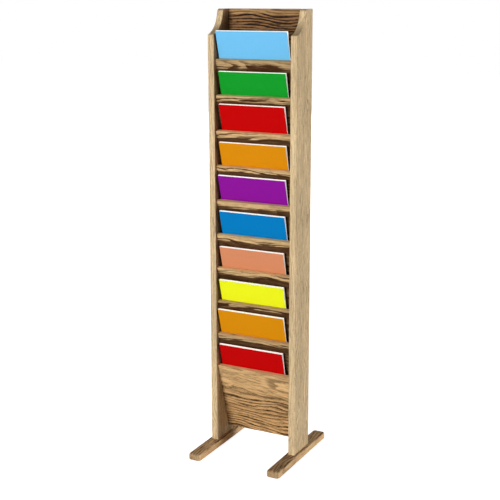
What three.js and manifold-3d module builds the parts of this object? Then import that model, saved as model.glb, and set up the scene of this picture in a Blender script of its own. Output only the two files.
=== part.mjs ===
// Cascade magazine rack: ten leaning pocket boards between two coved side panels on flat feet.
// Millimetres, +Z up. X runs across the rack, left to right as seen from the front, and Y runs back.
// The origin is on the floor, in the middle of the rack's footprint.

import * as THREE from "three";
import { mergeVertices } from "three/addons/utils/BufferGeometryUtils.js";
import Module from "manifold-3d";

const wasm = await Module();
wasm.setup();

// Clearances
const seatGap = 0.3; // round a piece that is let into, or laid against, its neighbour
const ledgeInset = 1.2; // from the lowest rear corner of a ledge to the rear edge of the side panels

// Side panels
const insideWidth = 228.6;
const sideHeight = 1231.9;
const sideDepth = 95.25;
const sideThickness = 19.05;
const sideEase = 1.6;
const sideTopDepth = 43; // what the cove leaves of the depth at the top
const coveRadius = 70;
const crestRadius = 12.7; // rounding between the cove and the top edge
const grooveDepth = 6.35;

// Header board
const headerHeight = 215.9;
const headerThickness = 12.7;
const headerEase = 1;

// Pocket boards
const boardHeight = 215.9;
const boardThickness = 12.7;
const boardSetBack = 6.35; // from the front edge of the side panels to a board's top front corner
const boardEdgeRadius = 1.8;
const firstBoardDrop = 134.7; // from the top of the side panels to the first board's top front corner
const lastBoardClearance = 19.7; // from the feet up to the last board's bottom front corner

// Pocket ledges
const ledgeThickness = 12.7;
const ledgeDepth = 12.7;

// Feet
const footLength = 317.5;
const footWidth = 38.1;
const footThickness = 19.05;
const footFrontReach = 120.65; // in front of the side panels
const footCornerRadius = 9;
const footRoundOver = 6.35; // along the top edges
const footRoundOverSteps = 4;
const footEase = 1.6; // along the bottom edges

// Screws, up through the feet
const screwInset = 22; // from the front and rear edges of the side panel
const screwHeadRadius = 4.5;
const screwHeadHeight = 3;
const screwHeadEase = 1;
const screwShankRadius = 2.1;
const screwLength = 44;
const screwTipLength = 5;
const counterboreDepth = 5.5;
const counterborePlay = 1; // round the screw's head

// Magazines, from the top pocket down. Each one's wide and tall are shares of the usual size, and its
// aside is how far it stands towards one side of its room: -1 is against the left panel.
const magazineSidePlay = 12.7; // left on each side of one of the usual width that stands in the middle
const magazineHeight = 266.7;
const magazineThickness = 8;
const magazines = [
  { colour: 0x74c5f4, wide: 1.053, tall: 1.044, aside: -0.34 },
  { colour: 0x139c2a, wide: 1.0, tall: 1.003, aside: -0.16 },
  { colour: 0xc60204, wide: 0.98, tall: 1.038, aside: -0.12 },
  { colour: 0xdd8e0b, wide: 1.004, tall: 1.009, aside: -0.08 },
  { colour: 0x8e149b, wide: 1.018, tall: 1.029, aside: -0.27 },
  { colour: 0x037ec4, wide: 0.995, tall: 1.016, aside: -0.18 },
  { colour: 0xdc8e65, wide: 0.98, tall: 0.994, aside: -0.34 },
  { colour: 0xf3fa1f, wide: 0.995, tall: 0.996, aside: -0.44 },
  { colour: 0xdc8f0a, wide: 1.018, tall: 1.038, aside: -0.58 },
  { colour: 0xc50204, wide: 0.986, tall: 1.01, aside: -0.48 },
];

// Worked out from the sizes above
const pocketCount = magazines.length;
const magazineWidth = insideWidth - 2 * magazineSidePlay;
const boardLength = insideWidth + 2 * (grooveDepth - seatGap);
const boardLean = leanThatFits();
const firstBoardTop = sideHeight - firstBoardDrop;
const lastBoardTop = lastBoardClearance + boardHeight * Math.cos(boardLean);
const boardPitch = (firstBoardTop - lastBoardTop) / (pocketCount - 1);
const ledgeTop = ledgeThickness - boardHeight; // along the board, from its top edge
const sideMiddle = (insideWidth + sideThickness) / 2;
const footprintMiddle = footLength / 2 - footFrontReach;

// Finishes
const oak = new THREE.MeshStandardMaterial({ color: 0xb48e5e, roughness: 0.55, metalness: 0 });
const darkOak = new THREE.MeshStandardMaterial({ color: 0x8a6238, roughness: 0.55, metalness: 0 });
const steel = new THREE.MeshStandardMaterial({ color: 0xb9b6ac, roughness: 0.35, metalness: 1 });

// The lean at which the lowest rear corner of a ledge comes just inside the side panel's rear edge.
function leanThatFits() {
  const backwards = boardThickness + seatGap + ledgeDepth;
  const depthToFill = sideDepth - ledgeInset - boardSetBack;
  return Math.asin(depthToFill / Math.hypot(boardHeight, backwards)) - Math.atan2(backwards, boardHeight);
}

function toSolid(geometry) {
  const bare = geometry.clone();
  bare.deleteAttribute("normal");
  bare.deleteAttribute("uv");
  const merged = mergeVertices(bare);
  const vertProperties = merged.attributes.position.array;
  const triVerts = new Uint32Array(merged.index.array);
  return new wasm.Manifold(new wasm.Mesh({ numProp: 3, vertProperties, triVerts }));
}

function toGeometry(solid) {
  const mesh = solid.getMesh();
  const geometry = new THREE.BufferGeometry();
  geometry.setAttribute("position", new THREE.BufferAttribute(mesh.vertProperties, 3));
  geometry.setIndex(new THREE.BufferAttribute(mesh.triVerts, 1));
  geometry.computeVertexNormals();
  return geometry;
}

// Cuts each of the given geometries out of the body.
function cutFrom(body, cutters) {
  let solid = toSolid(body);
  for (const cutter of cutters) {
    solid = solid.subtract(toSolid(cutter));
  }
  return toGeometry(solid);
}

// What two geometries have in common.
function inCommon(first, second) {
  return toGeometry(toSolid(first).intersect(toSolid(second)));
}

// A flat outline made into a plank whose edges are rounded by the ease, with its faces at 0 and at
// the thickness.
function easedPlank(outline, thickness, ease, steps = 2) {
  const plank = new THREE.ExtrudeGeometry(outline, {
    depth: thickness - 2 * ease,
    curveSegments: 8,
    bevelEnabled: true,
    bevelThickness: ease,
    bevelSize: ease,
    bevelOffset: -ease,
    bevelSegments: steps,
  });
  return plank.translate(0, 0, ease);
}

// Turns a shape drawn in X and Y and extruded along Z into one drawn in Y and Z and extruded along X.
function standAcross(geometry) {
  const acrossTheRack = new THREE.Matrix4().makeBasis(
    new THREE.Vector3(0, 1, 0),
    new THREE.Vector3(0, 0, 1),
    new THREE.Vector3(1, 0, 0),
  );
  return geometry.applyMatrix4(acrossTheRack);
}

// A box given by its lowest and highest corners.
function boxBetween(low, high) {
  const box = new THREE.BoxGeometry(high[0] - low[0], high[1] - low[1], high[2] - low[2]);
  return box.translate((low[0] + high[0]) / 2, (low[1] + high[1]) / 2, (low[2] + high[2]) / 2);
}

function uprightCylinder(radius, low, high) {
  const cylinder = new THREE.CylinderGeometry(radius, radius, high - low, 24);
  return cylinder.rotateX(Math.PI / 2).translate(0, 0, (low + high) / 2);
}

function roundedRectangle(left, bottom, right, top, radius) {
  const outline = new THREE.Shape();
  outline.moveTo(left + radius, bottom);
  outline.absarc(right - radius, bottom + radius, radius, -Math.PI / 2, 0, false);
  outline.absarc(right - radius, top - radius, radius, 0, Math.PI / 2, false);
  outline.absarc(left + radius, top - radius, radius, Math.PI / 2, Math.PI, false);
  outline.absarc(left + radius, bottom + radius, radius, Math.PI, 1.5 * Math.PI, false);
  return outline;
}

function named(name, geometry, material) {
  const mesh = new THREE.Mesh(geometry, material.clone());
  mesh.name = name;
  return mesh;
}

// The frame of one pocket: its origin is the board's top front corner, its Z runs up the board and its
// Y goes straight through the board to the back.
function pocketFrame(index) {
  const frame = new THREE.Group();
  frame.position.set(0, boardSetBack, firstBoardTop - index * boardPitch);
  frame.rotation.x = boardLean;
  frame.updateMatrix();
  return frame;
}

// The side panel seen from the side: the top front corner is scooped away by the cove, whose arc has
// its centre level with the top, and the crest rounds it over into the top edge.
function sideOutline(footRoom) {
  const coveCentre = sideDepth - sideTopDepth - coveRadius;
  const crestCentre = coveCentre + Math.sqrt((coveRadius + crestRadius) ** 2 - crestRadius ** 2);
  const crestAngle = Math.atan2(crestRadius, crestCentre - coveCentre);
  const coveDrop = Math.sqrt(coveRadius ** 2 - coveCentre ** 2);
  const outline = new THREE.Shape();
  outline.moveTo(0, -footRoom);
  outline.lineTo(sideDepth, -footRoom);
  outline.lineTo(sideDepth, sideHeight);
  const crestEnd = Math.PI - crestAngle;
  outline.absarc(crestCentre, sideHeight - crestRadius, crestRadius, Math.PI / 2, crestEnd, false);
  const coveEnd = Math.atan2(-coveDrop, -coveCentre);
  outline.absarc(coveCentre, sideHeight, coveRadius, -crestAngle, coveEnd, true);
  return outline;
}

// side is -1 for the left panel and 1 for the right one.
function sidePanel(side) {
  const innerFace = (side * insideWidth) / 2;
  const grooveFloor = innerFace + side * grooveDepth;
  const lowX = Math.min(innerFace - side, grooveFloor);
  const highX = Math.max(innerFace - side, grooveFloor);
  const footRoom = 3 * sideEase;

  const plank = standAcross(easedPlank(sideOutline(footRoom), sideThickness, sideEase));
  plank.translate(side * sideMiddle - sideThickness / 2, 0, 0);

  const squareBottom = boxBetween([-insideWidth, -sideDepth, -sideHeight], [insideWidth, 2 * sideDepth, 0]);
  const headerRabbet = boxBetween(
    [lowX, sideDepth - headerThickness - seatGap, sideHeight - headerHeight - seatGap],
    [highX, 2 * sideDepth, 2 * sideHeight],
  );
  const boardGrooves = [];
  for (let index = 0; index < pocketCount; index += 1) {
    const groove = boxBetween(
      [lowX, -seatGap, -boardHeight - seatGap],
      [highX, boardThickness + seatGap, seatGap],
    );
    boardGrooves.push(groove.applyMatrix4(pocketFrame(index).matrix));
  }
  const pilotHoles = screwPlaces().map((y) => {
    const hole = uprightCylinder(screwShankRadius + seatGap, -sideEase, screwTop() + seatGap);
    return hole.translate(side * sideMiddle, y, 0);
  });
  return cutFrom(plank, [squareBottom, headerRabbet, ...boardGrooves, ...pilotHoles]);
}

// A board of the given section that reaches into both side panels.
function letInBoard(section) {
  const board = new THREE.ExtrudeGeometry(section, {
    depth: boardLength,
    curveSegments: 2,
    bevelEnabled: false,
  });
  return standAcross(board).translate(-boardLength / 2, 0, 0);
}

// The header fills the rabbets, flush with the side panels' top and rear edges.
function headerBoard() {
  const front = sideDepth - headerThickness;
  return letInBoard(roundedRectangle(front, sideHeight - headerHeight, sideDepth, sideHeight, headerEase));
}

function pocketBoard() {
  return letInBoard(roundedRectangle(0, -boardHeight, boardThickness, 0, boardEdgeRadius));
}

// The pocket's floor, square to the board and flush with its bottom edge.
function pocketLedge() {
  const halfLength = insideWidth / 2 - seatGap;
  const front = boardThickness + seatGap;
  const low = [-halfLength, front, ledgeTop - ledgeThickness];
  const high = [halfLength, front + ledgeDepth, ledgeTop];
  return boxBetween(low, high);
}

// A magazine stands on the ledge with its cover on the back of the board. Its spine is the rounded
// left edge and its trimmed pages end at the right.
function magazineBlock(magazine) {
  const width = magazine.wide * magazineWidth;
  const middle = magazine.aside * ((insideWidth - width) / 2 - seatGap);
  const cover = boardThickness + seatGap;
  const spineRadius = magazineThickness / 2;
  const outline = new THREE.Shape();
  outline.moveTo(middle + width / 2, cover);
  outline.lineTo(middle + width / 2, cover + magazineThickness);
  outline.absarc(
    middle - width / 2 + spineRadius,
    cover + spineRadius,
    spineRadius,
    Math.PI / 2,
    1.5 * Math.PI,
    false,
  );
  const block = new THREE.ExtrudeGeometry(outline, {
    depth: magazine.tall * magazineHeight,
    curveSegments: 6,
    bevelEnabled: false,
  });
  return block.translate(0, 0, ledgeTop + seatGap);
}

// Where the screws stand along the side panel.
function screwPlaces() {
  return [screwInset, sideDepth - screwInset];
}

// The height of a screw's tip above the foot.
function screwTop() {
  return screwLength - footThickness + counterboreDepth - screwHeadHeight - seatGap;
}

// A screw's head lies in its counterbore and its shank runs up into the side panel.
function footScrew() {
  const profile = [
    new THREE.Vector2(0, 0),
    new THREE.Vector2(screwHeadRadius - screwHeadEase, 0),
    new THREE.Vector2(screwHeadRadius, screwHeadEase),
    new THREE.Vector2(screwHeadRadius, screwHeadHeight),
    new THREE.Vector2(screwShankRadius, screwHeadHeight),
    new THREE.Vector2(screwShankRadius, screwLength - screwTipLength),
    new THREE.Vector2(0, screwLength),
  ];
  return new THREE.LatheGeometry(profile, 24).rotateX(Math.PI / 2);
}

function foot(side) {
  const outline = roundedRectangle(
    side * sideMiddle - footWidth / 2,
    -footFrontReach,
    side * sideMiddle + footWidth / 2,
    footLength - footFrontReach,
    footCornerRadius,
  );
  const roundedAbove = easedPlank(outline, 2 * footThickness, footRoundOver, footRoundOverSteps);
  const easedBelow = easedPlank(outline, 2 * footThickness, footEase);
  const plank = inCommon(
    roundedAbove.translate(0, 0, -2 * footThickness),
    easedBelow.translate(0, 0, -footThickness),
  );
  const holes = [];
  for (const y of screwPlaces()) {
    const shankHole = uprightCylinder(screwShankRadius + seatGap, -2 * footThickness, footThickness);
    const counterbore = uprightCylinder(
      screwHeadRadius + counterborePlay,
      -2 * footThickness,
      counterboreDepth - footThickness,
    );
    holes.push(shankHole.translate(side * sideMiddle, y, 0));
    holes.push(counterbore.translate(side * sideMiddle, y, 0));
  }
  return cutFrom(plank, holes);
}

// The rack, modelled with the side panels' front edges at Y = 0 and the top of the feet at Z = 0
const rack = new THREE.Group();
rack.position.set(0, -footprintMiddle, footThickness);

for (const [hand, side] of [["left", -1], ["right", 1]]) {
  rack.add(named(`side_panel_${hand}`, sidePanel(side), oak));
  rack.add(named(`foot_${hand}`, foot(side), darkOak));
  for (const [end, y] of [["front", screwPlaces()[0]], ["rear", screwPlaces()[1]]]) {
    const screw = named(`foot_screw_${hand}_${end}`, footScrew(), steel);
    screw.position.set(side * sideMiddle, y, screwTop() - screwLength);
    rack.add(screw);
  }
}

rack.add(named("header_board", headerBoard(), oak));

magazines.forEach((magazine, index) => {
  const number = String(index + 1).padStart(2, "0");
  const cover = new THREE.MeshStandardMaterial({ color: magazine.colour, roughness: 0.4, metalness: 0 });
  const pocket = pocketFrame(index);
  pocket.add(named(`pocket_board_${number}`, pocketBoard(), oak));
  pocket.add(named(`pocket_ledge_${number}`, pocketLedge(), darkOak));
  pocket.add(named(`magazine_${number}`, magazineBlock(magazine), cover));
  rack.add(pocket);
});

export default rack;
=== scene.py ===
"""Looks for the cascade magazine rack: oak pieces with eased edges, paper magazines and zinc screws."""

import math
import random

import bmesh
import bpy
from mathutils import Matrix, Vector

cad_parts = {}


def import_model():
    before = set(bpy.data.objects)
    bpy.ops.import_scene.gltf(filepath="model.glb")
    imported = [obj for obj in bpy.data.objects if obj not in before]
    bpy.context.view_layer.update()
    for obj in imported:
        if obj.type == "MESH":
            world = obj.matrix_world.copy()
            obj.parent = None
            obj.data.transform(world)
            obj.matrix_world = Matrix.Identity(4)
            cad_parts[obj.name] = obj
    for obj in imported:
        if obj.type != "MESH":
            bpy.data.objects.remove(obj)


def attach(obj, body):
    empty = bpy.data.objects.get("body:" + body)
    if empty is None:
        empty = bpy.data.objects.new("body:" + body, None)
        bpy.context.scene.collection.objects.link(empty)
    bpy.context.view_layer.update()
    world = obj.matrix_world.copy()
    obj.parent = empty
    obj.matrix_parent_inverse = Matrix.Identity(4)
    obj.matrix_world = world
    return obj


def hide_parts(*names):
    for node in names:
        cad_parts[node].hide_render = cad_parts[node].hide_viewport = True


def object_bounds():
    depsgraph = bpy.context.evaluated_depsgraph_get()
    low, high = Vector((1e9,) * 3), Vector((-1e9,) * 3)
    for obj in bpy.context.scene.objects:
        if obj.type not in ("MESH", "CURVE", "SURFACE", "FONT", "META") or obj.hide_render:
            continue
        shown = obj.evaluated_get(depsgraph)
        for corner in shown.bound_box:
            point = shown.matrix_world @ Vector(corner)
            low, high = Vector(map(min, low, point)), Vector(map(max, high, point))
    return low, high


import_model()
cad_low, cad_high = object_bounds()

# Real sizes in metres. The rack's own zero is at the side panels' front edges, on top of the feet.
INSIDE_WIDTH = 0.2286
SIDE_HEIGHT = 1.2319
SIDE_DEPTH = 0.09525
SIDE_THICKNESS = 0.01905
SIDE_EASE = 0.0016
SIDE_TOP_DEPTH = 0.043
COVE_RADIUS = 0.070
CREST_RADIUS = 0.0127
GROOVE_DEPTH = 0.00635
SEAT_GAP = 0.0003
GROOVE_MOUTH = 0.001
CUTTER_REACH = 0.01
CUTTER_OVERLAP = 0.00015

BOARD_HEIGHT = 0.2159
BOARD_THICKNESS = 0.0127
BOARD_SET_BACK = 0.00635
BOARD_EDGE_RADIUS = 0.0018
HEADER_EASE = 0.001
HEADER_PALE_EDGE = 0.014
FIRST_BOARD_DROP = 0.1347
LAST_BOARD_CLEARANCE = 0.0197
LEDGE_INSET = 0.0012
LEDGE_DEPTH = 0.0127
LEDGE_THICKNESS = 0.0127
LEDGE_ARRIS = 0.0004

FOOT_LENGTH = 0.3175
FOOT_WIDTH = 0.0381
FOOT_THICKNESS = 0.01905
FOOT_FRONT_REACH = 0.12065
FOOT_CORNER_RADIUS = 0.009
FOOT_ROUND_OVER = 0.00635
FOOT_EASE = 0.0016

SCREW_INSET = 0.022
SCREW_HEAD_RADIUS = 0.0045
SCREW_HEAD_HEIGHT = 0.003
SCREW_SHANK_RADIUS = 0.0021
SCREW_LENGTH = 0.044
SCREW_TIP_LENGTH = 0.005
SCREW_RECESS_REACH = 0.0021
SCREW_RECESS_WIDTH = 0.0009
SCREW_RECESS_DEPTH = 0.0018
COUNTERBORE_DEPTH = 0.0055
COUNTERBORE_PLAY = 0.001

MAGAZINE_HEIGHT = 0.2667
MAGAZINE_THICKNESS = 0.008
MAGAZINE_SIDE_PLAY = 0.0127
COVER_THICKNESS = 0.0003
PRESSED_SHARE = 0.35
FANNED_HEIGHT = 0.062
LEAF_BUNDLES = 14
LEAF_GAP_SHARE = 0.04
LEAF_ROOM_AT_SPINE = 0.0004
LEAF_ROOM_AT_FOOT = 0.0002
LEAF_ROOM_AT_TOP = 0.0001
TRIM_UNEVENNESS = 0.00018

# How finely the round stretches are divided
CREST_STEPS = 8
COVE_STEPS = 32
CORNER_STEPS = 10
SPINE_STEPS = 14
HOLE_STEPS = 48
SCREW_STEPS = 40

# A length that counts as none
TINY = 1e-6

# Each magazine from the top pocket down: its slot and cover colour, its width and height as shares of
# the usual size, and how far it stands towards one side of its room.
MAGAZINES = [
    ("cover_light_blue", (116, 197, 244), 1.053, 1.044, -0.34),
    ("cover_green", (19, 156, 42), 1.0, 1.003, -0.16),
    ("cover_red", (198, 2, 4), 0.98, 1.038, -0.12),
    ("cover_orange", (221, 142, 11), 1.004, 1.009, -0.08),
    ("cover_purple", (142, 20, 155), 1.018, 1.029, -0.27),
    ("cover_blue", (3, 126, 196), 0.995, 1.016, -0.18),
    ("cover_salmon", (220, 142, 101), 0.98, 0.994, -0.34),
    ("cover_yellow", (243, 250, 31), 0.995, 0.996, -0.44),
    ("cover_orange", (220, 143, 10), 1.018, 1.038, -0.58),
    ("cover_red", (197, 2, 4), 0.986, 1.01, -0.48),
]

# Each pocket board but the last, from the top: how wide its pale edge is above the painted shade, and
# how light it is beside the usual colour.
BOARDS = [
    (0.0150, 0.89),
    (0.0105, 0.98),
    (0.0125, 1.02),
    (0.0085, 1.01),
    (0.0110, 1.00),
    (0.0115, 1.06),
    (0.0110, 1.05),
    (0.0078, 0.88),
    (0.0100, 0.94),
]

# The boards' usual colour, how much painted shade dims their wide faces, and the first seed of their
# figures
BOARD_LIGHT = (238, 200, 145)
BOARD_FACE_SHADE = 0.88
FIRST_BOARD_SEED = 300

# How wide a year's ring usually is in the oak
RING_SPACING = 0.009

# The photograph's camera: its place from the rack's zero, and its angles in degrees
CAMERA_PLACE = (1.3058, -2.4987, 1.2564)
CAMERA_DOWN = 12.897
CAMERA_TURN = 27.137
FOCAL_LENGTH_IN_PIXELS = 1051.5
PICTURE_WIDTH_IN_PIXELS = 500
SENSOR_WIDTH_IN_MILLIMETRES = 36
FRAME_SHIFT = -0.02

# Worked out from the sizes above
behind_the_board = BOARD_THICKNESS + SEAT_GAP + LEDGE_DEPTH
depth_to_fill = SIDE_DEPTH - LEDGE_INSET - BOARD_SET_BACK
LEAN = math.asin(depth_to_fill / math.hypot(BOARD_HEIGHT, behind_the_board))
LEAN -= math.atan2(behind_the_board, BOARD_HEIGHT)
FIRST_BOARD_TOP = SIDE_HEIGHT - FIRST_BOARD_DROP
LAST_BOARD_TOP = LAST_BOARD_CLEARANCE + BOARD_HEIGHT * math.cos(LEAN)
BOARD_PITCH = (FIRST_BOARD_TOP - LAST_BOARD_TOP) / (len(MAGAZINES) - 1)
BOARD_LENGTH = INSIDE_WIDTH + 2 * (GROOVE_DEPTH - SEAT_GAP)
MAGAZINE_WIDTH = INSIDE_WIDTH - 2 * MAGAZINE_SIDE_PLAY
LEDGE_TOP = LEDGE_THICKNESS - BOARD_HEIGHT
SIDE_MIDDLE = (INSIDE_WIDTH + SIDE_THICKNESS) / 2
SCREW_FOOT = COUNTERBORE_DEPTH - FOOT_THICKNESS - SCREW_HEAD_HEIGHT - SEAT_GAP
SCREW_PLACES = {"front": SCREW_INSET, "rear": SIDE_DEPTH - SCREW_INSET}
RACK_ZERO = Vector((0, FOOT_FRONT_REACH - FOOT_LENGTH / 2, FOOT_THICKNESS))

scene = bpy.context.scene


# Mesh helpers


def piece(name, mesh, place, body, material, *nodes):
    """Makes an object of a finished bmesh, stands it in its place and lets it ride on its body."""
    data = bpy.data.meshes.new(name)
    bmesh.ops.recalc_face_normals(mesh, faces=mesh.faces)
    mesh.to_mesh(data)
    mesh.free()
    made = bpy.data.objects.new(name, data)
    scene.collection.objects.link(made)
    made.matrix_world = place
    data.materials.append(material)
    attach(made, body)
    if nodes:
        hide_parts(*nodes)
    return made


def smooth(made, angle=35):
    """Rounded edges shade smoothly and flat faces stay flat."""
    made.data.shade_smooth()
    made.data.set_sharp_from_angle(angle=math.radians(angle))
    weighting = made.modifiers.new("flat faces", "WEIGHTED_NORMAL")
    weighting.keep_sharp = True
    weighting.weight = 100
    return made


def extruded(outline, direction):
    """A bmesh of a flat outline of points, pushed out along a direction."""
    mesh = bmesh.new()
    face = mesh.faces.new([mesh.verts.new(point) for point in outline])
    pushed = bmesh.ops.extrude_face_region(mesh, geom=[face])
    moved = [item for item in pushed["geom"] if isinstance(item, bmesh.types.BMVert)]
    bmesh.ops.translate(mesh, verts=moved, vec=direction)
    bmesh.ops.recalc_face_normals(mesh, faces=mesh.faces)
    return mesh


def box_between(low, high):
    """A bmesh box given by its lowest and highest corners."""
    low, high = Vector(low), Vector(high)
    mesh = bmesh.new()
    bmesh.ops.create_cube(mesh, size=1)
    bmesh.ops.scale(mesh, vec=high - low, verts=mesh.verts)
    bmesh.ops.translate(mesh, vec=(high + low) / 2, verts=mesh.verts)
    return mesh


def round_over(mesh, edges, radius, segments=4):
    """Rounds the given edges of a bmesh."""
    settings = {"offset": radius, "segments": segments, "profile": 0.5, "affect": "EDGES"}
    bmesh.ops.bevel(mesh, geom=list(edges), clamp_overlap=True, **settings)


def edges_along(mesh, axis):
    """The edges that run along one axis: 0, 1 or 2."""
    found = []
    for edge in mesh.edges:
        run = edge.verts[1].co - edge.verts[0].co
        if abs(run[axis]) > 0.999 * run.length:
            found.append(edge)
    return found


def arc(middle, radius, start, end, steps):
    """Points along an arc, both ends included; angles in degrees."""
    points = []
    for step in range(steps + 1):
        angle = math.radians(start + (end - start) * step / steps)
        points.append((middle[0] + radius * math.cos(angle), middle[1] + radius * math.sin(angle)))
    return points


def cylinder(radius, low, high, at):
    """An upright bmesh cylinder."""
    mesh = bmesh.new()
    place = Matrix.Translation((at[0], at[1], (low + high) / 2))
    settings = {"cap_ends": True, "segments": HOLE_STEPS, "radius1": radius, "radius2": radius}
    bmesh.ops.create_cone(mesh, depth=high - low, matrix=place, **settings)
    return mesh


def joined(parts):
    """One bmesh of all the given ones, which are freed."""
    whole = bmesh.new()
    for part in parts:
        spare = bpy.data.meshes.new("part")
        part.to_mesh(spare)
        whole.from_mesh(spare)
        bpy.data.meshes.remove(spare)
        part.free()
    return whole


def cut_away(made, cutters):
    """Cuts each bmesh in the list out of the object, and keeps the result as its mesh."""
    whole = joined(cutters)
    data = bpy.data.meshes.new("cutter")
    whole.to_mesh(data)
    whole.free()
    tool = bpy.data.objects.new("cutter", data)
    scene.collection.objects.link(tool)
    tool.matrix_world = made.matrix_world
    cutting = made.modifiers.new("cut", "BOOLEAN")
    cutting.operation = "DIFFERENCE"
    cutting.solver = "EXACT"
    cutting.object = tool
    graph = bpy.context.evaluated_depsgraph_get()
    result = bpy.data.meshes.new_from_object(made.evaluated_get(graph))
    made.modifiers.clear()
    old = made.data
    made.data = result
    result.name = made.name
    bpy.data.meshes.remove(old)
    bpy.data.objects.remove(tool)
    bpy.data.meshes.remove(data)


def pocket_place(index):
    """The place of one pocket: its zero is the board's top front corner and its Z runs up the board."""
    corner = RACK_ZERO + Vector((0, BOARD_SET_BACK, FIRST_BOARD_TOP - index * BOARD_PITCH))
    return Matrix.Translation(corner) @ Matrix.Rotation(LEAN, 4, "X")


# Material helpers


def screen_colour(colour):
    """A colour as the screen shows it, 0 to 255, made linear for a shader."""
    linear = []
    for channel in colour:
        share = channel / 255
        linear.append(share / 12.92 if share <= 0.04045 else ((share + 0.055) / 1.055) ** 2.4)
    return (*linear, 1)


def add_node(tree, kind, inputs=None, **settings):
    """Adds a node, applies its settings, and sets or links its inputs by name or number."""
    made = tree.nodes.new(kind)
    for name, value in settings.items():
        setattr(made, name, value)
    for key, value in (inputs or {}).items():
        if isinstance(value, bpy.types.NodeSocket):
            tree.links.new(value, made.inputs[key])
        else:
            made.inputs[key].default_value = value
    return made


def calculate(tree, operation, *values, clamp=False):
    """The result of a maths node on sockets and numbers."""
    made = add_node(tree, "ShaderNodeMath", dict(enumerate(values)), operation=operation, use_clamp=clamp)
    return made.outputs[0]


def scaled(tree, vector, scale):
    """A vector socket times three numbers."""
    made = add_node(tree, "ShaderNodeVectorMath", {0: vector, 1: scale}, operation="MULTIPLY")
    return made.outputs[0]


def noise(tree, vector, scale, detail=2.0, roughness=0.5):
    """Noise from 0 to 1 on a vector stretched by three numbers."""
    stretched = scaled(tree, vector, scale)
    inputs = {"Vector": stretched, "Scale": 1.0, "Detail": detail, "Roughness": roughness}
    return add_node(tree, "ShaderNodeTexNoise", inputs).outputs[0]


def spread(tree, value, low, high, to_low=0.0, to_high=1.0):
    """Maps a value smoothly from one range to another and clamps it."""
    inputs = {"Value": value, "From Min": low, "From Max": high, "To Min": to_low, "To Max": to_high}
    made = add_node(tree, "ShaderNodeMapRange", inputs, interpolation_type="SMOOTHSTEP", clamp=True)
    return made.outputs[0]


def blended(tree, share, first, second, how="MIX"):
    """Mixes two colours."""
    made = tree.nodes.new("ShaderNodeMix")
    made.data_type = "RGBA"
    made.blend_type = how
    for number, value in ((0, share), (6, first), (7, second)):
        if isinstance(value, bpy.types.NodeSocket):
            tree.links.new(value, made.inputs[number])
        else:
            made.inputs[number].default_value = value
    return made.outputs[2]


def new_material(name):
    """An empty node material, with its shader and output."""
    material = bpy.data.materials.new(name)
    material.use_nodes = True
    tree = material.node_tree
    tree.nodes.clear()
    shader = add_node(tree, "ShaderNodeBsdfPrincipled")
    add_node(tree, "ShaderNodeOutputMaterial", {0: shader.outputs[0]})
    return material, tree, shader


def oak_figure():
    """A node group with the figure of oak in solid wood. Its vector is in metres from the pith, with X
    along the grain. It gives the dark bands of early wood, ragged strokes, pores, fine streaks and tone.
    The scale of each noise is smaller along the grain, which draws it out that way."""
    group = bpy.data.node_groups.new("oak figure", "ShaderNodeTree")
    group.interface.new_socket("Vector", in_out="INPUT", socket_type="NodeSocketVector")
    spacing = group.interface.new_socket("Ring spacing", in_out="INPUT", socket_type="NodeSocketFloat")
    spacing.default_value = RING_SPACING
    for name in ("Bands", "Strokes", "Pores", "Streaks", "Tone"):
        group.interface.new_socket(name, in_out="OUTPUT", socket_type="NodeSocketFloat")
    start = group.nodes.new("NodeGroupInput")
    vector = start.outputs["Vector"]

    # The trunk isn't round or straight, so the distance from the pith wanders.
    slow = noise(group, vector, (5, 12, 12), detail=1.5)
    quick = noise(group, vector, (15, 80, 80), detail=2)
    slow_shift = calculate(group, "MULTIPLY", calculate(group, "SUBTRACT", slow, 0.5), 0.055)
    quick_shift = calculate(group, "MULTIPLY", calculate(group, "SUBTRACT", quick, 0.5), 0.009)
    across = scaled(group, vector, (0, 1, 1))
    from_pith = add_node(group, "ShaderNodeVectorMath", {0: across}, operation="LENGTH").outputs["Value"]
    wandering = calculate(group, "ADD", from_pith, calculate(group, "ADD", slow_shift, quick_shift))
    years = calculate(group, "DIVIDE", wandering, start.outputs["Ring spacing"])

    # Early wood starts sharply each year and fades outwards.
    season = calculate(group, "FRACT", years)
    onset = spread(group, season, 0.0, 0.10)
    fading = spread(group, season, 0.22, 0.72, 1.0, 0.0)
    year = calculate(group, "FLOOR", years)
    drawn = add_node(group, "ShaderNodeTexWhiteNoise", {"W": year}, noise_dimensions="1D")
    broken = noise(group, vector, (18, 130, 130), detail=2)
    strength = calculate(group, "MULTIPLY_ADD", drawn.outputs["Value"], 0.6, 0.4)
    strength = calculate(group, "MULTIPLY", strength, spread(group, broken, 0.3, 0.6, 0.35, 1.0))
    bands = calculate(group, "MULTIPLY", calculate(group, "MULTIPLY", onset, fading), strength)

    strokes = noise(group, vector, (9, 190, 190), detail=3, roughness=0.6)
    strokes = spread(group, strokes, 0.52, 0.70)
    flecks = noise(group, vector, (38, 300, 300), detail=2)
    flecks = spread(group, flecks, 0.52, 0.68, 0.0, 0.5)
    strokes = calculate(group, "MAXIMUM", strokes, flecks)
    pores = noise(group, vector, (70, 1400, 1400), detail=1)
    pores = spread(group, pores, 0.48, 0.62)
    streaks = noise(group, vector, (9, 330, 330), detail=3, roughness=0.6)
    tone = noise(group, vector, (2.5, 16, 16), detail=1)

    outputs = {"Bands": bands, "Strokes": strokes, "Pores": pores, "Streaks": streaks, "Tone": tone}
    add_node(group, "NodeGroupOutput", outputs)
    return group


OAK_FIGURE = oak_figure()

# Turns that bring a piece's length to X and its wide face to the plane of X and Y.
GRAIN_ALONG_X = (math.radians(90), 0, 0)
GRAIN_ALONG_Y = (0, 0, math.radians(-90))
GRAIN_ALONG_Z = (0, math.radians(90), 0)


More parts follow.
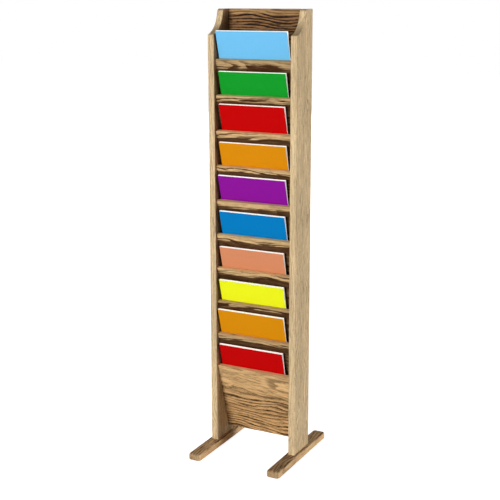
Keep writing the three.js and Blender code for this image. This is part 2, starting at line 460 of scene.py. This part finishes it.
def oak(name, turn, pith, tilt=(0, 0, 0), light=BOARD_LIGHT, dark=(70, 39, 15), face=1.0, edge=0.4,
        back=1.0, face_shade=1.0, end_grain_and_shade=1.0, spacing=RING_SPACING, fineness=1.0, heart_and_shade=None,
        heart_and_shade_zone=None, heart_and_shade_fades=None, shine=0.04):
    """Oak whose pith lies at a point of the turned piece, with the trunk tilted by small angles. face and
    edge say how dark the figure is on the wide faces and the narrow edges, back what share of that the
    back has, face_shade how much painted shade dims the wide faces, end_grain_and_shade how much the end
    grain is darkened, as darker end grain or as painted shade, spacing how wide a year's ring is, fineness
    how much smaller the figure is than usual, and shine how strong the sheen is. heart_and_shade_zone says
    where the wood is darker, as heartwood or as painted shade: a direction in the piece, the places along
    it where the wood is still pale and where it is all dark, and how much the border wavers;
    heart_and_shade_fades says where and to what share it pales again beyond that."""
    material, tree, shader = new_material(name)
    here = add_node(tree, "ShaderNodeTexCoord")
    place = here.outputs["Object"]
    turned = add_node(tree, "ShaderNodeMapping", {"Vector": place, "Rotation": turn}, vector_type="POINT")
    from_pith = add_node(
        tree,
        "ShaderNodeMapping",
        {"Vector": turned.outputs[0], "Location": pith, "Rotation": tilt, "Scale": (1 / fineness,) * 3},
        vector_type="TEXTURE",
    )
    figure = tree.nodes.new("ShaderNodeGroup")
    figure.node_tree = OAK_FIGURE
    tree.links.new(from_pith.outputs[0], figure.inputs["Vector"])
    figure.inputs["Ring spacing"].default_value = spacing * fineness
    bands, strokes, pores, streaks, tone = figure.outputs

    # The figure is strongest on the wide faces, and the pores break it up.
    normal = here.outputs["Normal"]
    facing = add_node(tree, "ShaderNodeMapping", {"Vector": normal, "Rotation": turn}, vector_type="VECTOR")
    facing = add_node(tree, "ShaderNodeSeparateXYZ", {0: facing.outputs[0]})
    through = facing.outputs["Z"]
    flat = spread(tree, calculate(tree, "ABSOLUTE", through), 0.4, 0.9)
    sawn = spread(tree, calculate(tree, "ABSOLUTE", facing.outputs["X"]), 0.4, 0.9)
    darkness = calculate(tree, "MAXIMUM", calculate(tree, "MULTIPLY", bands, 1.4), strokes)
    darkness = calculate(tree, "MULTIPLY", darkness, calculate(tree, "MULTIPLY_ADD", pores, 0.7, 0.65))
    darkness = calculate(tree, "MULTIPLY", darkness, spread(tree, flat, 0, 1, edge, face), clamp=True)
    darkness = calculate(tree, "MULTIPLY", darkness, spread(tree, through, 0.4, 0.9, 1, back))

    # The wood between the dark strokes is pale, or darker in its zone, where the strokes are too: heartwood
    # on some pieces, painted shade on others.
    pale, brown = screen_colour(light), screen_colour(dark)
    if heart_and_shade_zone:
        direction, pale_to, all_dark_from, wavering = heart_and_shade_zone
        along = add_node(tree, "ShaderNodeVectorMath", {0: place, 1: direction}, operation="DOT_PRODUCT")
        wander = calculate(tree, "MULTIPLY_ADD", bands, 0.4, calculate(tree, "SUBTRACT", streaks, 0.5))
        wavy = calculate(tree, "MULTIPLY_ADD", wander, -wavering, along.outputs["Value"])
        heart_and_shade_share = spread(tree, wavy, pale_to, all_dark_from)
        if heart_and_shade_fades:
            heart_and_shade_share = calculate(tree, "MULTIPLY", heart_and_shade_share, spread(tree, wavy, *heart_and_shade_fades))
        pale = blended(tree, heart_and_shade_share, pale, screen_colour(heart_and_shade))
        darkness = calculate(tree, "MULTIPLY", darkness, spread(tree, heart_and_shade_share, 0, 1, 0.6, 1))
    bare = blended(tree, darkness, pale, brown)

    # Fine streaks, open pores, slow changes of tone, painted shade on the wide faces, and darker end grain
    # or painted shade at the ends
    streak_share = spread(tree, streaks, 0.3, 0.75, 0.0, 0.4)
    streaked = blended(tree, streak_share, bare, (0.5, 0.42, 0.33, 1), "MULTIPLY")
    pore_shade = calculate(tree, "MULTIPLY", pores, calculate(tree, "MULTIPLY_ADD", darkness, 0.3, 0.1))
    pored = blended(tree, pore_shade, streaked, (0.035, 0.017, 0.006, 1))
    level = spread(tree, tone, 0.3, 0.7, 0.88, 1.08)
    level = calculate(tree, "MULTIPLY", level, spread(tree, flat, 0, 1, 1, face_shade))
    level = calculate(tree, "MULTIPLY", level, spread(tree, sawn, 0, 1, 1, end_grain_and_shade))
    shade = add_node(tree, "ShaderNodeCombineColor", {0: level, 1: level, 2: level}).outputs[0]
    colour = blended(tree, 1.0, pored, shade, "MULTIPLY")
    tree.links.new(colour, shader.inputs["Base Color"])

    # A satin finish that the pores dent
    rough = calculate(tree, "MULTIPLY_ADD", streaks, 0.14, 0.40)
    tree.links.new(rough, shader.inputs["Roughness"])
    relief = calculate(tree, "SUBTRACT", 1.0, pores)
    bump = add_node(tree, "ShaderNodeBump", {"Height": relief, "Strength": 0.25, "Distance": 0.0001})
    tree.links.new(bump.outputs[0], shader.inputs["Normal"])
    shader.inputs["Specular IOR Level"].default_value = shine
    return material


def coated_paper(name, colour):
    """A blank printed cover: coated paper with a faint mottle, and scuffs that dull its sheen."""
    material, tree, shader = new_material(name)
    place = add_node(tree, "ShaderNodeTexCoord").outputs["Object"]
    mottle = noise(tree, place, (260, 260, 260), detail=3)
    level = spread(tree, mottle, 0.3, 0.7, 0.975, 1.0)
    shade = add_node(tree, "ShaderNodeCombineColor", {0: level, 1: level, 2: level}).outputs[0]
    printed = blended(tree, 1.0, screen_colour(colour), shade, "MULTIPLY")
    tree.links.new(printed, shader.inputs["Base Color"])
    scuffs = noise(tree, place, (35, 35, 90), detail=4, roughness=0.65)
    tree.links.new(spread(tree, scuffs, 0.35, 0.7, 0.42, 0.56), shader.inputs["Roughness"])
    waves = noise(tree, place, (9, 9, 6), detail=1)
    bump = add_node(tree, "ShaderNodeBump", {"Height": waves, "Strength": 0.15, "Distance": 0.002})
    tree.links.new(bump.outputs[0], shader.inputs["Normal"])
    shader.inputs["Specular IOR Level"].default_value = 0.04
    return material


def page_paper():
    """White paper seen at its trimmed edges: fine lines between the leaves, and a faint glow that is
    painted light.
    """
    material, tree, shader = new_material("page_paper")
    place = add_node(tree, "ShaderNodeTexCoord").outputs["Object"]
    leaves = noise(tree, place, (3, 5200, 3), detail=1)
    shade = spread(tree, leaves, 0.42, 0.62)
    white, grey = screen_colour((250, 249, 245)), screen_colour((224, 221, 213))
    tree.links.new(blended(tree, shade, white, grey), shader.inputs["Base Color"])
    bump = add_node(tree, "ShaderNodeBump", {"Height": leaves, "Strength": 0.4, "Distance": 0.0001})
    tree.links.new(bump.outputs[0], shader.inputs["Normal"])
    shader.inputs["Roughness"].default_value = 0.8
    shader.inputs["Specular IOR Level"].default_value = 0.2
    # A faint glow, painted light that keeps the trimmed edges white where they lie in shade
    shader.inputs["Emission Color"].default_value = white
    shader.inputs["Emission Strength"].default_value = 0.45
    return material


def zinc():
    """Zinc-plated steel with a faint yellow tint and a fine cloudy mottle."""
    material, tree, shader = new_material("zinc_steel")
    place = add_node(tree, "ShaderNodeTexCoord").outputs["Object"]
    cloud = noise(tree, place, (900, 900, 900), detail=3)
    bright, dull = screen_colour((202, 200, 190)), screen_colour((165, 160, 145))
    plated = blended(tree, spread(tree, cloud, 0.35, 0.65), bright, dull)
    tree.links.new(plated, shader.inputs["Base Color"])
    tree.links.new(spread(tree, cloud, 0.3, 0.7, 0.28, 0.42), shader.inputs["Roughness"])
    shader.inputs["Metallic"].default_value = 1
    return material


# Pieces


def side_outline(foot_room):
    """The side panel from the side, as points of Y and Z: the cove and the crest at its top front."""
    cove_y = SIDE_DEPTH - SIDE_TOP_DEPTH - COVE_RADIUS
    crest_y = cove_y + math.sqrt((COVE_RADIUS + CREST_RADIUS) ** 2 - CREST_RADIUS**2)
    crest_angle = math.degrees(math.atan2(CREST_RADIUS, crest_y - cove_y))
    cove_drop = math.sqrt(COVE_RADIUS**2 - cove_y**2)
    cove_end = math.degrees(math.atan2(-cove_drop, -cove_y))
    outline = [(0, -foot_room), (SIDE_DEPTH, -foot_room), (SIDE_DEPTH, SIDE_HEIGHT)]
    outline += arc((crest_y, SIDE_HEIGHT - CREST_RADIUS), CREST_RADIUS, 90, 180 - crest_angle, CREST_STEPS)
    outline += arc((cove_y, SIDE_HEIGHT), COVE_RADIUS, -crest_angle, cove_end, COVE_STEPS)[1:]
    return outline


def side_panel(hand, side, material):
    """One side panel, with stopped grooves for the boards and a rabbet for the header."""
    # The rim is eased below the panel's foot too, and that end is then cut off square.
    outer_x = side * (INSIDE_WIDTH / 2 + SIDE_THICKNESS)
    outline = [(outer_x, y, z) for y, z in side_outline(4 * SIDE_EASE)]
    mesh = extruded(outline, (-side * SIDE_THICKNESS, 0, 0))
    rim = [edge for edge in mesh.edges if edge not in set(edges_along(mesh, 0))]
    round_over(mesh, rim, SIDE_EASE)
    everything = mesh.verts[:] + mesh.edges[:] + mesh.faces[:]
    bmesh.ops.bisect_plane(mesh, geom=everything, plane_co=(0, 0, 0), plane_no=(0, 0, 1), clear_inner=True)
    open_edges = [edge for edge in mesh.edges if edge.is_boundary]
    bmesh.ops.edgeloop_fill(mesh, edges=open_edges)
    made = piece(
        f"oak_side_{hand}", mesh, Matrix.Translation(RACK_ZERO), "rack", material, f"side_panel_{hand}"
    )

    inner = side * INSIDE_WIDTH / 2
    reach = sorted((inner - side * GROOVE_MOUTH, inner + side * GROOVE_DEPTH))
    header_low = (reach[0], SIDE_DEPTH - BOARD_THICKNESS - SEAT_GAP, SIDE_HEIGHT - BOARD_HEIGHT - SEAT_GAP)
    cutters = [box_between(header_low, (reach[1], 2 * SIDE_DEPTH, 2 * SIDE_HEIGHT))]
    for index in range(len(MAGAZINES)):
        groove_low = (reach[0], -SEAT_GAP, -BOARD_HEIGHT - SEAT_GAP)
        groove = box_between(groove_low, (reach[1], BOARD_THICKNESS + SEAT_GAP, SEAT_GAP))
        local = Matrix.Translation(-RACK_ZERO) @ pocket_place(index)
        bmesh.ops.transform(groove, matrix=local, verts=groove.verts)
        cutters.append(groove)
    for y in SCREW_PLACES.values():
        top = SCREW_FOOT + SCREW_LENGTH + SEAT_GAP
        at = (side * SIDE_MIDDLE, y)
        cutters.append(cylinder(SCREW_SHANK_RADIUS + SEAT_GAP, -CUTTER_REACH, top, at))
    cut_away(made, cutters)
    return smooth(made)


def long_board(name, low, high, radius, place, material, node):
    """A board along X with its four long edges rounded."""
    mesh = box_between(low, high)
    round_over(mesh, edges_along(mesh, 0), radius)
    return smooth(piece(name, mesh, place, "rack", material, node))


def foot(hand, side, material):
    """One foot: rounded corners, eased edges, and the screws' counterbores beneath."""
    left, right = side * SIDE_MIDDLE - FOOT_WIDTH / 2, side * SIDE_MIDDLE + FOOT_WIDTH / 2
    front, back = -FOOT_FRONT_REACH, FOOT_LENGTH - FOOT_FRONT_REACH
    radius = FOOT_CORNER_RADIUS
    corners = [
        (right - radius, front + radius),
        (right - radius, back - radius),
        (left + radius, back - radius),
        (left + radius, front + radius),
    ]
    outline = []
    for number, corner in enumerate(corners):
        start = 90 * number - 90
        outline += arc(corner, radius, start, start + 90, CORNER_STEPS)
    mesh = extruded([(x, y, -FOOT_THICKNESS) for x, y in outline], (0, 0, FOOT_THICKNESS))
    upright = set(edges_along(mesh, 2))
    rims = [edge for edge in mesh.edges if edge not in upright]
    top_rim = [edge for edge in rims if edge.verts[0].co.z > -FOOT_THICKNESS / 2]
    round_over(mesh, top_rim, FOOT_ROUND_OVER, segments=6)
    bottom_rim = []
    for edge in mesh.edges:
        if max(vert.co.z for vert in edge.verts) < TINY - FOOT_THICKNESS:
            bottom_rim.append(edge)
    round_over(mesh, bottom_rim, FOOT_EASE)
    made = piece(f"oak_foot_{hand}", mesh, Matrix.Translation(RACK_ZERO), "rack", material, f"foot_{hand}")
    cutters = []
    for y in SCREW_PLACES.values():
        at = (side * SIDE_MIDDLE, y)
        seat = COUNTERBORE_DEPTH - FOOT_THICKNESS
        cutters.append(cylinder(SCREW_SHANK_RADIUS + SEAT_GAP, seat - CUTTER_OVERLAP, CUTTER_REACH, at))
        wide = SCREW_HEAD_RADIUS + COUNTERBORE_PLAY
        cutters.append(cylinder(wide, -2 * FOOT_THICKNESS, seat, at))
    cut_away(made, cutters)
    return smooth(made)


def foot_screw(hand, side, end, material):
    """A screw with a low domed head and a cross recess beneath, and its tip up in the side panel."""
    head, shank = SCREW_HEAD_RADIUS, SCREW_SHANK_RADIUS
    profile = [(0, 0), (0.5 * head, 0.0001), (0.8 * head, 0.0004), (0.95 * head, 0.0009), (head, 0.0015)]
    profile += [(head, SCREW_HEAD_HEIGHT), (shank, SCREW_HEAD_HEIGHT)]
    profile += [(shank, SCREW_LENGTH - SCREW_TIP_LENGTH), (0, SCREW_LENGTH)]
    mesh = bmesh.new()
    corners = [mesh.verts.new((radius, 0, height)) for radius, height in profile]
    for first, second in zip(corners, corners[1:]):
        mesh.edges.new((first, second))
    turning = {"cent": (0, 0, 0), "axis": (0, 0, 1), "angle": math.tau, "use_merge": True}
    bmesh.ops.spin(mesh, geom=mesh.verts[:] + mesh.edges[:], steps=SCREW_STEPS, **turning)
    bmesh.ops.remove_doubles(mesh, verts=mesh.verts, dist=TINY)
    place = Matrix.Translation(RACK_ZERO + Vector((side * SIDE_MIDDLE, SCREW_PLACES[end], SCREW_FOOT)))
    node = f"foot_screw_{hand}_{end}"
    made = piece(f"zinc_{node}", mesh, place, "rack", material, node)
    arm, half = SCREW_RECESS_REACH, SCREW_RECESS_WIDTH / 2
    quarter = [(arm, -half), (arm, half), (half, half)]
    outline = []
    for turn in range(4):
        rotation = Matrix.Rotation(turn * math.pi / 2, 3, "Z")
        outline += [rotation @ Vector((x, y, -SCREW_HEAD_HEIGHT)) for x, y in quarter]
    cut_away(made, [extruded(outline, (0, 0, SCREW_HEAD_HEIGHT + SCREW_RECESS_DEPTH))])
    return smooth(made)


def fan_out(mesh, front, top):
    """Presses a magazine's leaves together, up to where they fan out above the board."""
    fold = top - FANNED_HEIGHT
    everything = mesh.verts[:] + mesh.edges[:] + mesh.faces[:]
    bmesh.ops.bisect_plane(mesh, geom=everything, plane_co=(0, 0, fold), plane_no=(0, 0, 1))
    for vert in mesh.verts:
        fanned = max(vert.co.z - fold, 0) / FANNED_HEIGHT
        share = PRESSED_SHARE + (1 - PRESSED_SHARE) * fanned
        vert.co.y = front + (vert.co.y - front) * share


def magazine(index, paper):
    """A magazine on its ledge: a cover folded round the spine, and the bundles of leaves inside it."""
    slot, colour, wide, tall, aside = MAGAZINES[index]
    number = f"{index + 1:02d}"
    body = f"magazine_{number}"
    width, height = wide * MAGAZINE_WIDTH, tall * MAGAZINE_HEIGHT
    middle = aside * ((INSIDE_WIDTH - width) / 2 - SEAT_GAP)
    left, right = middle - width / 2, middle + width / 2
    front = BOARD_THICKNESS + SEAT_GAP
    foot_z = LEDGE_TOP + SEAT_GAP
    spine = MAGAZINE_THICKNESS / 2
    spine_middle = (left + spine, front + spine)
    outer = [(right, front + MAGAZINE_THICKNESS)]
    outer += arc(spine_middle, spine, 90, 270, SPINE_STEPS)
    outer += [(right, front)]
    inner = [(right, front + COVER_THICKNESS)]
    inner += arc(spine_middle, spine - COVER_THICKNESS, 270, 90, SPINE_STEPS)
    inner += [(right, front + MAGAZINE_THICKNESS - COVER_THICKNESS)]
    outline = [(x, y, foot_z) for x, y in outer + inner]
    mesh = extruded(outline, (0, 0, height))
    fan_out(mesh, front, foot_z + height)
    card = coated_paper(f"cover_{number}", colour)
    cover = piece(f"{body}_cover", mesh, pocket_place(index), body, card, body)
    smooth(cover, angle=25)

    # The leaves, in bundles whose trimmed edges are a hair uneven
    uneven = random.Random(index)
    room = MAGAZINE_THICKNESS - 2 * COVER_THICKNESS
    bundle = room / LEAF_BUNDLES
    leaves = []
    for leaf in range(LEAF_BUNDLES):
        near = front + COVER_THICKNESS + leaf * bundle
        depth = abs(near + bundle / 2 - front - spine)
        fold = left + spine - math.sqrt(max((spine - COVER_THICKNESS) ** 2 - depth**2, 0))
        bottom = foot_z + LEAF_ROOM_AT_FOOT + TRIM_UNEVENNESS * uneven.random()
        low = (fold + LEAF_ROOM_AT_SPINE, near + LEAF_GAP_SHARE * bundle, bottom)
        end = right - TRIM_UNEVENNESS * uneven.random()
        top = foot_z + height - LEAF_ROOM_AT_TOP - TRIM_UNEVENNESS * uneven.random()
        high = (end, near + (1 - LEAF_GAP_SHARE) * bundle, top)
        leaves.append(box_between(low, high))
    pages = joined(leaves)
    fan_out(pages, front, foot_z + height)
    piece(f"{body}_pages", pages, pocket_place(index), body, paper)


def header(material):
    """The board across the back at the top."""
    low = (-BOARD_LENGTH / 2, SIDE_DEPTH - BOARD_THICKNESS, SIDE_HEIGHT - BOARD_HEIGHT)
    high = (BOARD_LENGTH / 2, SIDE_DEPTH, SIDE_HEIGHT)
    place = Matrix.Translation(RACK_ZERO)
    return long_board("oak_header", low, high, HEADER_EASE, place, material, "header_board")


def pocket_board(index, material):
    """The leaning board in front of a pocket."""
    number = f"{index + 1:02d}"
    low = (-BOARD_LENGTH / 2, 0, -BOARD_HEIGHT)
    high = (BOARD_LENGTH / 2, BOARD_THICKNESS, 0)
    name, node = f"oak_board_{number}", f"pocket_board_{number}"
    return long_board(name, low, high, BOARD_EDGE_RADIUS, pocket_place(index), material, node)


def pocket_ledge(index, material):
    """The strip behind the foot of a pocket's board, which the magazine stands on."""
    number = f"{index + 1:02d}"
    half = INSIDE_WIDTH / 2 - SEAT_GAP
    front = BOARD_THICKNESS + SEAT_GAP
    low = (-half, front, LEDGE_TOP - LEDGE_THICKNESS)
    high = (half, front + LEDGE_DEPTH, LEDGE_TOP)
    name, node = f"oak_ledge_{number}", f"pocket_ledge_{number}"
    return long_board(name, low, high, LEDGE_ARRIS, pocket_place(index), material, node)


# Oak for each piece: the pith's place gives each its own figure.


def side_oak(hand, side):
    """Oak for a side panel: fine and straight, with painted shade on the inner face, darker towards the
    top.
    """
    inner = INSIDE_WIDTH / 2
    return oak(
        f"oak_side_{hand}",
        GRAIN_ALONG_Z,
        (0.2 * side, 0.19 + 0.01 * side, 0.05 * side),
        light=(236, 209, 165),
        dark=(112, 80, 46),
        face=1.1,
        edge=0.7,
        # The darkened cove and crest are painted shade, partly darker end grain
        end_grain_and_shade=0.65,
        spacing=0.0052,
        fineness=1.8,
        # The darker colour on the inner face is painted shade, darker towards the top
        heart_and_shade=(176, 142, 108),
        heart_and_shade_zone=((side, 0, -0.0012), inner + 0.0002, inner - 0.0008, 0),
    )


def foot_oak(hand, side):
    """Oak for a foot, with painted shade on its top and darker end grain at its ends."""
    return oak(
        f"oak_foot_{hand}",
        GRAIN_ALONG_Y,
        (0.4 * side, 0.13 * side, -0.06),
        tilt=(0, 0.05, 0.02),
        light=(246, 207, 157),
        # The darkened top is painted shade
        face_shade=0.75,
        end_grain_and_shade=0.65,
        shine=0,
    )


def header_oak():
    """Dark, strongly figured oak with a pale strip along its top edge; the dark front, less so at the back,
    is partly the wood's figure and partly painted shade.
    """
    border = SIDE_HEIGHT - HEADER_PALE_EDGE
    return oak(
        "oak_header",
        GRAIN_ALONG_X,
        (0.3, -1.05, 0.09),
        tilt=(0, 0.03, 0.05),
        # The dark front, less so at the back, is partly painted shade
        light=(192, 150, 100),
        dark=(30, 15, 6),
        face=1.9,
        back=0.45,
        heart_and_shade=(162, 119, 77),
        heart_and_shade_zone=((0, 0, 1), border, border - 0.003, 0.01),
    )


def board_oak(index):
    """Oak for a pocket's board and ledge: a pale top edge, a dark streak below it that is partly
    painted shade of the pocket, and brown further down. The last board, which is seen whole, is plain
    above and streaked below instead."""
    name = f"oak_board_{index + 1:02d}"
    if index == len(BOARDS):
        return oak(
            name,
            GRAIN_ALONG_X,
            (-0.3, 0.02, 0.05),
            tilt=(0, 0.04, 0.05),
            light=(249, 205, 146),
            dark=(62, 34, 14),
            face=1.2,
            face_shade=BOARD_FACE_SHADE,
            spacing=0.011,
            heart_and_shade=(243, 194, 133),
            heart_and_shade_zone=((0, 0, 1), -0.02, -0.15, 0.02),
        )
    pale_edge, tone = BOARDS[index]
    figure = random.Random(FIRST_BOARD_SEED + index)
    pith = (figure.uniform(-1, 1), figure.uniform(-0.02, 0.14), 0.055 + figure.uniform(0, 0.04))
    return oak(
        name,
        GRAIN_ALONG_X,
        pith,
        tilt=(0, figure.uniform(-0.08, 0.08), figure.uniform(-0.06, 0.06)),
        light=[tone * channel for channel in BOARD_LIGHT],
        # The dimmed wide faces and the weak figure on the edges are painted shade, which leaves the top
        # edges looking lit
        edge=0.2,
        face_shade=BOARD_FACE_SHADE,
        # The dark streak below the pale edge is partly painted shade of the pocket
        heart_and_shade=(99, 71, 46),
        heart_and_shade_zone=((0, 0, 1), -pale_edge, -1.7 * pale_edge, 0.03),
        heart_and_shade_fades=(-3 * pale_edge, -5 * pale_edge, 1.0, 0.8),
    )


# The rack and its magazines

for hand, side in (("left", -1), ("right", 1)):
    side_panel(hand, side, side_oak(hand, side))
    foot(hand, side, foot_oak(hand, side))

header(header_oak())

paper = page_paper()
for index in range(len(MAGAZINES)):
    wood = board_oak(index)
    pocket_board(index, wood)
    pocket_ledge(index, wood)
    magazine(index, paper)

steel = zinc()
for hand, side in (("left", -1), ("right", 1)):
    for end in SCREW_PLACES:
        foot_screw(hand, side, end, steel)


# Floor, lights, world and camera


def lit_by_camera(tree):
    """1 for camera, glossy and transmission rays, and 0 for the rays that light the object."""
    rays = add_node(tree, "ShaderNodeLightPath")
    seen = calculate(tree, "MAXIMUM", rays.outputs["Is Camera Ray"], rays.outputs["Is Glossy Ray"])
    return calculate(tree, "MAXIMUM", seen, rays.outputs["Is Transmission Ray"])


def floor():
    """A plain pale floor that shows white and keeps the rack's shadow."""
    mesh = bmesh.new()
    bmesh.ops.create_grid(mesh, x_segments=1, y_segments=1, size=15)
    data = bpy.data.meshes.new("floor")
    mesh.to_mesh(data)
    mesh.free()
    made = bpy.data.objects.new("floor", data)
    scene.collection.objects.link(made)
    material = bpy.data.materials.new("pale_floor")
    material.use_nodes = True
    tree = material.node_tree
    tree.nodes.clear()
    plain = add_node(tree, "ShaderNodeBsdfDiffuse", {"Color": (0.7, 0.7, 0.7, 1)})
    pale = add_node(tree, "ShaderNodeBsdfDiffuse", {"Color": (0.8, 0.8, 0.8, 1)})
    place = add_node(tree, "ShaderNodeTexCoord").outputs["Object"]
    away = add_node(tree, "ShaderNodeVectorMath", {0: place}, operation="LENGTH").outputs["Value"]
    strength = spread(tree, away, 0.8, 3.0, 0.85, 1.0)
    glow = add_node(tree, "ShaderNodeEmission", {"Color": (1, 1, 1, 1), "Strength": strength})
    shown = add_node(tree, "ShaderNodeAddShader", {0: pale.outputs[0], 1: glow.outputs[0]})
    mixed = add_node(
        tree, "ShaderNodeMixShader", {0: lit_by_camera(tree), 1: plain.outputs[0], 2: shown.outputs[0]}
    )
    add_node(tree, "ShaderNodeOutputMaterial", {0: mixed.outputs[0]})
    data.materials.append(material)


def lamp(name, azimuth, elevation, distance, size, power, shine=1.0):
    """A soft square lamp aimed at the rack's middle, with sizes in metres and power in watts. Azimuth 0 is
    in front, and 90 is on the right. shine is the share of its light that makes highlights."""
    turn, lift = math.radians(azimuth), math.radians(elevation)
    away = Vector((math.sin(turn) * math.cos(lift), -math.cos(turn) * math.cos(lift), math.sin(lift)))
    data = bpy.data.lights.new(name, "AREA")
    data.shape = "SQUARE"
    data.size = size
    data.energy = power
    data.specular_factor = shine
    made = bpy.data.objects.new(name, data)
    scene.collection.objects.link(made)
    middle = (cad_low + cad_high) / 2
    made.location = middle + away * distance
    made.rotation_euler = (-away).to_track_quat("-Z", "Y").to_euler()


def world():
    """A white backdrop for the camera, and for the object a grey glow that is darker overhead."""
    sky = bpy.data.worlds.new("studio")
    scene.world = sky
    sky.use_nodes = True
    tree = sky.node_tree
    tree.nodes.clear()
    backdrop = add_node(tree, "ShaderNodeBackground", {"Color": (1, 1, 1, 1), "Strength": 1.0})
    direction = add_node(tree, "ShaderNodeTexCoord").outputs["Generated"]
    height = add_node(tree, "ShaderNodeSeparateXYZ", {0: direction}).outputs["Z"]
    strength = spread(tree, height, 0.0, 0.7, 0.17, 0.03)
    glow = add_node(tree, "ShaderNodeBackground", {"Color": (1, 1, 1, 1), "Strength": strength})
    mixed = add_node(
        tree, "ShaderNodeMixShader", {0: lit_by_camera(tree), 1: glow.outputs[0], 2: backdrop.outputs[0]}
    )
    add_node(tree, "ShaderNodeOutputWorld", {0: mixed.outputs[0]})


def camera():
    """The photograph's viewing angle, from the front right and a little above."""
    data = bpy.data.cameras.new("camera")
    data.sensor_width = SENSOR_WIDTH_IN_MILLIMETRES
    data.lens = SENSOR_WIDTH_IN_MILLIMETRES * FOCAL_LENGTH_IN_PIXELS / PICTURE_WIDTH_IN_PIXELS
    data.shift_x = data.shift_y = FRAME_SHIFT
    made = bpy.data.objects.new("camera", data)
    scene.collection.objects.link(made)
    made.location = RACK_ZERO + Vector(CAMERA_PLACE)
    made.rotation_euler = (math.radians(90 - CAMERA_DOWN), 0, math.radians(CAMERA_TURN))
    scene.camera = made


floor()
world()
lamp("key", azimuth=-12, elevation=9, distance=9, size=3.4, power=662)
lamp("side", azimuth=91, elevation=5, distance=7, size=1.5, power=272)
lamp("back", azimuth=215, elevation=15, distance=9, size=3.4, power=450, shine=0.1)
camera()

scene.view_settings.view_transform = "Standard"
